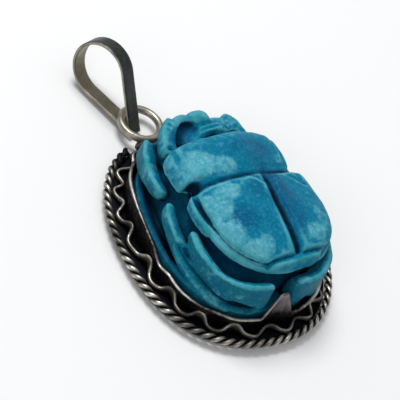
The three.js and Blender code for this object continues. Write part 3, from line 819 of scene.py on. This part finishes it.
def patches(points, places):
    """Soft spots painted on the plan of the back."""
    total = np.zeros(len(points))
    for x, y, reach_x, reach_y, strength in places:
        away = np.hypot((points[:, 0] - x) / reach_x, (points[:, 1] - y) / reach_y)
        total = np.maximum(total, strength * step(away, 1.25, 0.55))
    return total


def spots(points, places):
    """Soft round spots on the flanks."""
    total = np.zeros(len(points))
    for x, y, z, reach, strength in places:
        away = np.linalg.norm(points - (x, y, z), axis=1) / reach
        total = np.maximum(total, strength * step(away, 1.25, 0.45))
    return total


def right_slope(points):
    """How far the carved back falls away on the right of its front half."""
    x, y, z = points.T
    return (SLOPE_FALL * step(x, *SLOPE_ACROSS) * step(y, *SLOPE_REAR) * step(y, *SLOPE_FRONT)
            * step(z, *SLOPE_LEVEL))


def core_wall_shade(points):
    """Mask of painted shade on the recessed wall between the legs and on the base's ledge."""
    x, y, z = points.T
    spread, level = np.array(CORE_PROFILE).T
    inset = np.interp(z, level, spread)
    plan = (np.abs((x - CORE_AXIS) / (CORE_HALF_WIDTH + inset)) ** CORE_SQUARENESS
            + np.abs(y / (CORE_HALF_LENGTH + inset)) ** CORE_SQUARENESS)
    proud = (plan ** (1.0 / CORE_SQUARENESS) - 1.0) * CORE_HALF_WIDTH
    wall = step(proud, *WALL_DEPTH) * step(z, *WALL_FOOT) * step(z, *WALL_TOP)
    ledge = ((np.abs(x) / (MOUNT_HALF_WIDTH - BASE_INSET)) ** BEZEL_SQUARENESS
             + (np.abs(y) / (MOUNT_HALF_LENGTH - BASE_INSET)) ** BEZEL_SQUARENESS)
    ledge = step(ledge, *LEDGE_PLAN) * step(z, *LEDGE_FOOT) * step(z, *LEDGE_TOP)
    return np.maximum(wall, 1.2 * ledge * step(y, *LEDGE_REACH))


def grown_mesh(sizes):
    """The scarab's forms grown together on a fine mesh."""
    shells = [drum(MOUNT_HALF_WIDTH - BASE_INSET, MOUNT_HALF_LENGTH - BASE_INSET, BEZEL_SQUARENESS,
                   ((0.0, PLATE_THICKNESS), (BASE_FLARE, BASE_TOP)), 0.0),
              drum(CORE_HALF_WIDTH, CORE_HALF_LENGTH, CORE_SQUARENESS, CORE_PROFILE, CORE_AXIS)]
    shells += [dome(form) for form in BACK_FORMS]
    shells += [limb(leg, side) for leg in LEGS for side in SIDES]
    rough = bpy.data.objects.new("scarab forms", make_mesh("scarab forms", *joined(shells)))
    bpy.context.scene.collection.objects.link(rough)
    grow = rough.modifiers.new("grow together", "REMESH")
    grow.mode = "VOXEL"
    grow.voxel_size = sizes.carving_grain / MM
    evaluated = rough.evaluated_get(bpy.context.evaluated_depsgraph_get())
    mesh = bpy.data.meshes.new_from_object(evaluated)
    bpy.data.objects.remove(rough)
    mesh.name = "scarab"
    return mesh


def paint_glaze(mesh, points, ends, cut):
    """Masks of the glaze: worn relief, painted shade in the hollows, pale patches, deep pools with
    painted shade, and flanks.
    """
    z = points[:, 2]
    facing = normals(mesh)
    fine = np.einsum("ij,ij->i", points - relaxed(points, ends, FINE_ROUNDS), facing)
    broad = np.einsum("ij,ij->i", points - relaxed(points, ends, BROAD_ROUNDS), facing)
    relief = np.clip(fine / 0.05, -1.5, 1.5) + np.clip(broad / 0.4, -1.0, 0.7) * 0.3
    # Painted shade: broad and fine hollows, the wall between the legs, the base's ledge, the low base
    # except near the tail, and deep cuts are darkened; less near the head's pit.
    hollow_shade = (step(-broad, *HOLLOW_BROAD) + 0.55 * step(-fine, *HOLLOW_FINE)
              + 0.54 * core_wall_shade(points))
    foot = step(z, *FOOT_LEVEL) * step(points[:, 1], *FOOT_REACH)
    recess = step(np.linalg.norm(points - HEAD_PIT["line"][1], axis=1), *RECESS_REACH)
    hollow_shade = (hollow_shade + 0.45 * foot + 0.4 * step(cut, *HOLLOW_CUT)) * (1.0 - 0.4 * recess)
    # Painted shade: sideways faces low down, the flank spots and the head's recess are painted deep;
    # the deep glaze also grows towards the bottom and in its pools.
    side = step(facing[:, 2], *SIDE_FACING) * step(z, *SIDE_LEVEL)
    deep = np.max((patches(points, DEEP_POOLS_AND_SHADE), 0.75 * step(z, *DEEP_LEVEL), 0.85 * side,
                   spots(points, FLANK_SHADE), recess * step(cut, *RECESS_CUT)), axis=0)
    pale = patches(points, PALE_PATCHES) * step(z, *PALE_LEVEL)
    set_mask(mesh, "relief", relief * (1.0 - 0.9 * np.clip(deep, 0.0, 1.0)))
    set_mask(mesh, "flank", np.maximum(side, step(z, *FLANK_LEVEL)))
    set_mask(mesh, "hollow_shade", np.clip(hollow_shade, 0.0, 1.2))
    set_mask(mesh, "pale", np.maximum(pale, 0.55 * spots(points, FLANK_PALE)))
    set_mask(mesh, "deep", deep)


def scarab_mesh(sizes):
    """The grown forms, smoothed, carved and left uneven as by hand."""
    mesh = grown_mesh(sizes)
    ends = edge_ends(mesh)
    points = relaxed(coordinates(mesh), ends, 3)
    set_coordinates(mesh, points)
    facing = unit(relaxed(normals(mesh), ends, 4))
    above = step(points[:, 2], BASE_TOP, BASE_TOP + 0.6)
    cut = carve(points, sizes)
    points = points - facing * cut[:, None]
    points[:, 2] -= right_slope(points)
    wobble = sizes.carving_wobble / MM
    lumps = sum(height * waves(points, size, seed) for height, size, seed in LUMPS)
    points = relaxed(points + facing * (wobble * lumps * above)[:, None], ends, 2)
    points[:, 2] = np.maximum(points[:, 2], PLATE_THICKNESS)
    set_coordinates(mesh, points)
    paint_glaze(mesh, points, ends, cut)
    return mesh


def plate_mesh():
    """Oval plate with softened edges."""
    angles = turns(PLATE_STEPS)
    rings = [at_level(mount_points(PLATE_INSET + inset, MOUNT_SQUARENESS, angles), level)
             for inset, level, _ in PLATE_SECTION]
    mesh = make_mesh("back plate", *skin(np.array(rings), False))
    set_mask(mesh, "wear", np.repeat([wear for _, _, wear in PLATE_SECTION], PLATE_STEPS))
    return mesh


def rope_mesh(sizes):
    """Two round strands twisted about the plate's edge."""
    radius = 0.5 * sizes.rope_diameter / MM
    start = math.radians(ROPE_GAP_MIDDLE + 0.5 * ROPE_GAP_SPREAD)
    angles = start + np.linspace(0.0, math.radians(360.0 - ROPE_GAP_SPREAD), ROPE_STEPS)
    route = mount_points(radius, MOUNT_SQUARENESS, angles)
    height = PLATE_THICKNESS + ROPE_LIFT + radius
    run = np.linalg.norm(np.diff(route, axis=0), axis=1).sum()
    rounds = round(run / (sizes.rope_pitch / MM))
    steps = rounds * STRAND_STEPS
    line = smooth_line(at_level(route, height), steps)
    out = unit(np.cross(UP, unit(np.gradient(line, axis=0))))
    strand_radius = STRAND_RADIUS * radius
    section = oval_points(strand_radius, strand_radius, 2.0, turns(STRAND_SIDES))
    shells = []
    for strand in (0.0, math.pi):
        lay = strand - np.linspace(0.0, TURN * rounds, steps)
        spoke = np.cos(lay)[:, None] * out + np.sin(lay)[:, None] * UP
        middle = line + STRAND_OFFSET * radius * spoke
        lead = unit(np.gradient(middle, axis=0))
        side = unit(spoke - lead * np.sum(spoke * lead, 1)[:, None])
        other = np.cross(lead, side)
        rings = (middle[:, None] + section[None, :, :1] * side[:, None]
                 + section[None, :, 1:] * other[:, None])
        shells.append(skin(rings, False))
    points, faces = joined(shells)
    mesh = make_mesh("rope border", points, faces)
    core = np.tile(np.repeat(line, STRAND_SIDES, axis=0), (2, 1))
    away = np.linalg.norm(points - core, axis=1) / radius
    part = np.tile(np.repeat(np.linspace(0.0, 1.0, steps), STRAND_SIDES), 2)
    # The rope is darker along its first stretch after the gap
    darker_at_start = 0.35 + 0.65 * step(part, 0.01, 0.09)
    set_mask(mesh, "wear", step(away, 0.5, 1.05) * darker_at_start * (0.88 + 0.35 * waves(points, 3.5, 7)))
    return mesh


def undercut(angles):
    """How far the bezel's foot stands back under its pressed rim, from 0 to 1."""
    away = np.abs(np.degrees(angles) % 360.0 - UNDERCUT_MIDDLE)
    return step(away, UNDERCUT_SPREAD, 0.3 * UNDERCUT_SPREAD)


def zigzag_mesh(sizes):
    """Flat wire on edge, bent by hand into waves between the rope and the bezel."""
    count = len(WAVE_TURNS) * WAVE_STEPS
    outward = np.radians(WAVE_TURNS + (WAVE_TURNS[0] + 360.0,))
    wave = np.arange(count) / WAVE_STEPS
    angles = np.interp(wave, np.arange(len(outward)), outward)
    uneven = 1.0 - WAVE_UNEVENNESS * (1.0 + np.sin(5 * angles + 1.0))
    aside = undercut(angles)
    height = (WAVE_HEIGHT - WAVE_LOSS * aside) * uneven
    inset = WAVE_INSET + WAVE_SHIFT * aside - height * np.cos(TURN * wave)
    line = mount_points(np.minimum(inset, WAVE_LIMIT + UNDERCUT * aside), WAVE_SQUARENESS, angles)
    along = unit(np.roll(line, -1, axis=0) - np.roll(line, 1, axis=0))
    side = np.stack([along[:, 1], -along[:, 0]], -1)
    half, tall = 0.5 * sizes.wire_width / MM, sizes.wire_height / MM
    climb = 1.0 + WAVE_CLIMB * aside * step(-np.cos(TURN * wave), -0.3, 1.0)
    rings = np.empty((count, len(WIRE_SECTION), 3))
    for k, (across, level, _) in enumerate(WIRE_SECTION):
        rings[:, k, :2] = line + across * half * side
        rings[:, k, 2] = PLATE_THICKNESS + level * tall * climb
    mesh = make_mesh("wavy wire", *skin(rings, True))
    bright = np.tile([wear for *_, wear in WIRE_SECTION], count)
    set_mask(mesh, "wear", bright * (0.85 + 0.4 * waves(rings.reshape(-1, 3), 1.6, 8)))
    return mesh


def bezel_mesh():
    """Thin collar with a rolled, rippling rim that rises to a claw behind the tail."""
    angles = turns(BEZEL_STEPS)
    wall = BEZEL_INSET + BEZEL_WALL
    outer, inner, outer_rim, inner_rim = (
        mount_points(inset, BEZEL_SQUARENESS, angles)
        for inset in (BEZEL_INSET, wall, BEZEL_INSET - BEZEL_FLARE, wall - BEZEL_FLARE))
    slope = 1.0 - np.abs(outer[:, 0] - CLAW_X) / CLAW_HALF_WIDTH
    tail = np.where(outer[:, 1] < 0.0, np.clip(slope, 0.0, CLAW_BLUNTNESS), 0.0)
    pressed = step(np.abs(angles - math.radians(PRESSED_MIDDLE)), math.radians(PRESSED_SPREAD), 0.1)
    rim = BEZEL_RIM + BEZEL_RIPPLE * np.sin(BEZEL_RIPPLES * angles) + CLAW_HEIGHT * tail
    for height, count, phase in BEZEL_DENTS:
        rim = rim + height * np.sin(count * angles + phase)
    dip = step(np.abs(np.degrees(angles) - DIP_MIDDLE), DIP_SPREAD, 0.0)
    rim = rim + PRESSED_HEIGHT * pressed - DIP_DEPTH * dip
    outward = unit(outer)
    lean = np.outer(CLAW_LEAN * tail, (0.0, 1.0)) - (pressed * PRESSED_LEAN)[:, None] * outward
    back = (UNDERCUT * undercut(angles))[:, None] * outward
    rings = np.empty((BEZEL_STEPS, len(BEZEL_SECTION), 3))
    for k, (across, spread, level, _) in enumerate(BEZEL_SECTION):
        foot = inner + across * (outer - inner) - back
        top = inner_rim + across * (outer_rim - inner_rim) + lean
        rings[:, k, :2] = foot + spread * (top - foot)
        rings[:, k, 2] = PLATE_THICKNESS + level * (rim - PLATE_THICKNESS)
    mesh = make_mesh("bezel", *skin(rings, True))
    bright = np.array([wear for *_, wear in BEZEL_SECTION])
    dull = 1.0 - 0.6 * step(tail, 0.05, 0.2) * step(outer[:, 0], CLAW_X - 0.6, CLAW_X)
    rubbed = dull * (0.82 + 0.2 * np.sin(7 * angles + 2.0))
    set_mask(mesh, "wear", (bright[None] * rubbed[:, None]).ravel())
    claw = step(tail, 0.05, 0.3)[:, None] * step(rings[:, :, 2], BEZEL_RIM - 0.1, BEZEL_RIM + 0.5)
    set_mask(mesh, "claw", claw.ravel())
    return mesh


def ring_mesh(sizes):
    """Round wire ring and the crumbs of solder that hold it."""
    wire = 0.5 * sizes.ring_wire / MM
    round_wire = turns(RING_SIDES)[None, :, None]
    out = at_level(oval_points(1.0, 1.0, 2.0, turns(RING_STEPS)), 0.0)[:, None]
    rings = RING_RADIUS * out + wire * (np.cos(round_wire) * out + np.sin(round_wire) * UP)
    points, faces = skin(rings, True)
    tilt = np.array(Matrix.Rotation(math.radians(RING_DROOP), 3, "X"))
    ring = (points @ tilt.T + RING_CENTRE, faces)
    shells = [ring]
    for x, y in SOLDER_PLACES:
        lump = dict(half_width=SOLDER_REACH[0], forward=SOLDER_REACH[1], rearward=SOLDER_REACH[1],
                    foot=PLATE_THICKNESS, rise=SOLDER_REACH[2], front=2.0, rear=2.0,
                    x=RING_CENTRE[0] + x, y=y, yaw=0.0)
        crumb, crumb_faces = dome(lump, *SOLDER_STEPS)
        push = SOLDER_LUMPS * waves(crumb, 0.35, 4)
        outward = unit(crumb - (lump["x"], y, PLATE_THICKNESS) + 1e-6)
        free = crumb[:, 2:] > PLATE_THICKNESS + SOLDER_BARE
        shells.append((crumb + push[:, None] * outward * free, crumb_faces))
    points, faces = joined(shells)
    mesh = make_mesh("jump ring", points, faces)
    wear = 0.3 + 0.3 * waves(points, 0.3, 6)
    wear[:len(ring[0])] = 0.74 + 0.25 * waves(ring[0], 1.3, 5)
    set_mask(mesh, "wear", wear)
    return mesh


def teardrop(length, bend, straight=30, curved=70):
    """Closed outline of a strip bent round at one end and brought together at the other."""
    middle = length - bend
    half = math.asin(bend / middle)
    angles = np.linspace(-(0.5 * math.pi + half), 0.5 * math.pi + half, curved)
    arc = np.column_stack([middle + bend * np.cos(angles), bend * np.sin(angles)])
    run = np.linspace(0.0, 1.0, straight, endpoint=False)[:, None]
    return np.concatenate([run * arc[0], arc, arc[-1] * (1.0 - run[1:])])


def bail_mesh(sizes):
    """Strip bail linked through the ring, with softened edges."""
    outer = teardrop(BAIL_LENGTH, BAIL_BEND_RADIUS)
    reach = BAIL_LENGTH - BAIL_BEND_RADIUS
    shrink = 1.0 - sizes.bail_thickness / MM / BAIL_BEND_RADIUS
    inner = (outer - (reach, 0.0)) * shrink + (reach, 0.0)
    half = 0.5 * sizes.bail_width / MM
    local = np.empty((len(outer), len(BAIL_SECTION), 3))
    for k, (depth, side, inset, _) in enumerate(BAIL_SECTION):
        local[:, k, :2] = outer + depth * (inner - outer)
        local[:, k, 2] = side * (half - inset)
    yaw, lean = math.radians(BAIL_YAW), math.radians(BAIL_LEAN)
    across = Vector((math.cos(yaw) * math.cos(lean), math.sin(yaw) * math.cos(lean), math.sin(lean)))
    upward = (Vector(UP) - across * across.z).normalized()
    along = Matrix.Rotation(math.radians(BAIL_LIFT), 3, across) @ upward.cross(across).normalized()
    upward = across.cross(along).normalized()
    axes = np.array((along, upward, across))
    points, faces = skin(local, True)
    mesh = make_mesh("bail", points @ axes + BAIL_TIP, [face[::-1] for face in faces])
    bright = np.tile([wear for *_, wear in BAIL_SECTION], len(outer))
    set_mask(mesh, "wear", bright + 0.3 * waves(points, 1.8, 9))
    # The inside mask splits the painted dark reflection of the outside from the inside's tone
    set_mask(mesh, "inside", np.tile([depth for depth, *_ in BAIL_SECTION], len(outer)))
    return mesh


def two_toned(name, first, second, mask_name, bright, rough):
    """Dulled silver of two tones, split by a mask, with bright worn edges."""
    material, tree, shader = new_material(name)
    relief = mask(tree, "wear")
    tone = blend(tree, mask(tree, mask_name), first, second)
    tone = blend(tree, times(tree, mottle(tree, 700.0, 0.4, 0.7, 6.0), 0.35), tone,
                 tuple(0.35 * value for value in first))
    tone = blend(tree, times(tree, mottle(tree, 2400.0, 0.42, 0.66, 5.0), 0.4), tone,
                 tuple(0.45 * value for value in second))
    tone = blend(tree, worn(tree, relief, 0.5, 1.0, 0.5, 1800.0), tone, bright)
    tree.links.new(tone, shader.inputs["Base Color"])
    tree.links.new(between(tree, mottle(tree, 500.0, 0.3, 0.7), 0.0, 1.0, rough, rough + 0.2),
                   shader.inputs["Roughness"])
    shader.inputs["Metallic"].default_value = 0.85
    bump(tree, shader, mottle(tree, 2600.0, 0.25, 0.75), 0.02, 0.4)
    return material


def worn_silver(colours):
    return silver_material("worn silver", colours.silver_black, colours.silver_grey,
                           colours.silver_bright, 0.25, 1.0, 0.35, 0.3)


class PENDANT_OT_scarab(bpy.types.Operator):
    """Build the carved and glazed scarab"""
    bl_idname = "pendant.scarab"
    bl_label = "Scarab"

    def execute(self, context):
        scene = context.scene
        mesh = scarab_mesh(scene.pendant_sizes)
        finish_piece("scarab_glazed", mesh, glaze_material(scene.pendant_colours), "scarab")
        return {"FINISHED"}


class PENDANT_OT_back_plate(bpy.types.Operator):
    """Build the blackened back plate"""
    bl_idname = "pendant.back_plate"
    bl_label = "Back plate"

    def execute(self, context):
        colours = context.scene.pendant_colours
        black = silver_material("blackened silver", colours.silver_black, colours.bail_reflection_and_plate_grey,
                                colours.silver_grey, 0.2, 1.0, 0.3, 0.42)
        finish_piece("plate_oval", plate_mesh(), black, "back_plate")
        return {"FINISHED"}


class PENDANT_OT_rope_border(bpy.types.Operator):
    """Build the twisted rope round the plate"""
    bl_idname = "pendant.rope_border"
    bl_label = "Rope border"

    def execute(self, context):
        scene = context.scene
        finish_piece("rope_twisted", rope_mesh(scene.pendant_sizes), worn_silver(scene.pendant_colours),
                     "rope_border")
        return {"FINISHED"}


class PENDANT_OT_zigzag_wire(bpy.types.Operator):
    """Build the wavy wire on the plate"""
    bl_idname = "pendant.zigzag_wire"
    bl_label = "Wavy wire"

    def execute(self, context):
        scene = context.scene
        finish_piece("wire_wavy", zigzag_mesh(scene.pendant_sizes), worn_silver(scene.pendant_colours),
                     "zigzag_wire")
        return {"FINISHED"}


class PENDANT_OT_bezel(bpy.types.Operator):
    """Build the bezel collar with its tail claw"""
    bl_idname = "pendant.bezel"
    bl_label = "Bezel"

    def execute(self, context):
        colours = context.scene.pendant_colours
        metal = two_toned("bezel silver", colours.silver_black, colours.claw_grey, "claw",
                          colours.silver_bright, 0.34)
        finish_piece("bezel_collar", bezel_mesh(), metal, "bezel")
        return {"FINISHED"}


class PENDANT_OT_jump_ring(bpy.types.Operator):
    """Build the soldered jump ring"""
    bl_idname = "pendant.jump_ring"
    bl_label = "Jump ring"

    def execute(self, context):
        scene = context.scene
        colours = scene.pendant_colours
        metal = silver_material("ring silver", colours.silver_black, colours.silver_grey,
                                colours.ring_bright, 0.0, 1.0, 0.3, 0.3)
        finish_piece("ring_soldered", ring_mesh(scene.pendant_sizes), metal, "jump_ring")
        return {"FINISHED"}


class PENDANT_OT_bail(bpy.types.Operator):
    """Build the strip bail"""
    bl_idname = "pendant.bail"
    bl_label = "Bail"

    def execute(self, context):
        scene = context.scene
        colours = scene.pendant_colours
        # Two tones of one strip: the outside gets a painted dark reflection
        metal = two_toned("bail silver", colours.bail_reflection_and_plate_grey, colours.bail_inside, "inside",
                          colours.bail_edge, 0.34)
        finish_piece("bail_strip", bail_mesh(scene.pendant_sizes), metal, "bail")
        return {"FINISHED"}


def soft_light(name, place, size, power):
    """Round softbox that looks at the pendant."""
    light = bpy.data.lights.new(name, "AREA")
    light.shape = "DISK"
    light.size = size
    light.energy = power
    lamp = bpy.data.objects.new(name, light)
    lamp.location = place
    lamp.rotation_euler = Vector(place).to_track_quat("Z", "Y").to_euler()
    bpy.context.scene.collection.objects.link(lamp)


def photo_camera():
    """Camera that sees the pendant as the photograph does."""
    azimuth, elevation, roll = (math.radians(value) for value in
                                (CAMERA_AZIMUTH, CAMERA_ELEVATION, CAMERA_ROLL))
    back = Vector((math.sin(azimuth) * math.cos(elevation), -math.cos(azimuth) * math.cos(elevation),
                   math.sin(elevation)))
    right = Vector((math.cos(azimuth), math.sin(azimuth), 0.0))
    up = back.cross(right)
    across = math.cos(roll) * right + math.sin(roll) * up
    upright = -math.sin(roll) * right + math.cos(roll) * up
    place = CAMERA_DISTANCE * back + CAMERA_OFFSET[0] * across + CAMERA_OFFSET[1] * upright
    lens = bpy.data.cameras.new("photo camera")
    lens.sensor_width = SENSOR_MM
    lens.lens = SENSOR_MM * CAMERA_FOCAL_PX / PICTURE_PX
    lens.clip_start, lens.clip_end = 0.01, 20.0
    camera = bpy.data.objects.new("photo camera", lens)
    axes = Matrix((across, upright, back)).transposed().to_4x4()
    camera.matrix_world = Matrix.Translation(place * MM) @ axes
    bpy.context.scene.collection.objects.link(camera)
    bpy.context.scene.camera = camera


class PENDANT_OT_stage(bpy.types.Operator):
    """Set the pale floor, the soft lights and the camera"""
    bl_idname = "pendant.stage"
    bl_label = "Stage"

    def execute(self, context):
        scene = context.scene
        floor = bpy.data.meshes.new("floor")
        low, high = -FLOOR_HALF, FLOOR_HALF
        floor.from_pydata([(low, low, 0), (high, low, 0), (high, high, 0), (low, high, 0)], [],
                          [(0, 1, 2, 3)])
        material, tree, shader = new_material("pale floor")
        pale = scene.pendant_colours.floor
        shade = tuple(FLOOR_SHADE * value for value in pale)
        tone = blend(tree, mottle(tree, 6.0, 0.3, 0.7), pale, shade)
        tree.links.new(tone, shader.inputs["Base Color"])
        shader.inputs["Roughness"].default_value = 0.9
        shader.inputs["Specular IOR Level"].default_value = 0.1
        floor.materials.append(material)
        stage = bpy.data.objects.new("floor", floor)
        scene.collection.objects.link(stage)
        soft_light("key softbox", **KEY_LIGHT)
        soft_light("side softbox", **SIDE_LIGHT)
        world = bpy.data.worlds.new("studio")
        world.use_nodes = True
        background = world.node_tree.nodes["Background"]
        background.inputs["Color"].default_value = WORLD_COLOUR
        background.inputs["Strength"].default_value = WORLD_STRENGTH
        scene.world = world
        scene.view_settings.view_transform = "Standard"
        photo_camera()
        return {"FINISHED"}


class PENDANT_PT_sidebar(bpy.types.Panel):
    """Pieces, sizes and colours of the pendant"""
    bl_idname = "PENDANT_PT_sidebar"
    bl_label = "Scarab pendant"
    bl_space_type = "VIEW_3D"
    bl_region_type = "UI"
    bl_category = "Pendant"

    def draw(self, context):
        for operator in OPERATORS:
            self.layout.operator(operator.bl_idname)
        for group in (context.scene.pendant_sizes, context.scene.pendant_colours):
            box = self.layout.box()
            for name in group.__annotations__:
                box.prop(group, name)


OPERATORS = (PENDANT_OT_back_plate, PENDANT_OT_rope_border, PENDANT_OT_zigzag_wire, PENDANT_OT_bezel,
             PENDANT_OT_scarab, PENDANT_OT_jump_ring, PENDANT_OT_bail, PENDANT_OT_stage)
CLASSES = (PendantSizes, PendantColours, *OPERATORS, PENDANT_PT_sidebar)


def register():
    for one in CLASSES:
        bpy.utils.register_class(one)
    bpy.types.Scene.pendant_sizes = bpy.props.PointerProperty(type=PendantSizes)
    bpy.types.Scene.pendant_colours = bpy.props.PointerProperty(type=PendantColours)


def unregister():
    del bpy.types.Scene.pendant_colours
    del bpy.types.Scene.pendant_sizes
    for one in reversed(CLASSES):
        bpy.utils.unregister_class(one)


def main():
    register()
    bpy.ops.pendant.back_plate()
    bpy.ops.pendant.rope_border()
    bpy.ops.pendant.zigzag_wire()
    bpy.ops.pendant.bezel()
    bpy.ops.pendant.scarab()
    bpy.ops.pendant.jump_ring()
    bpy.ops.pendant.bail()
    bpy.ops.pendant.stage()


if __name__ == "__main__":
    main()
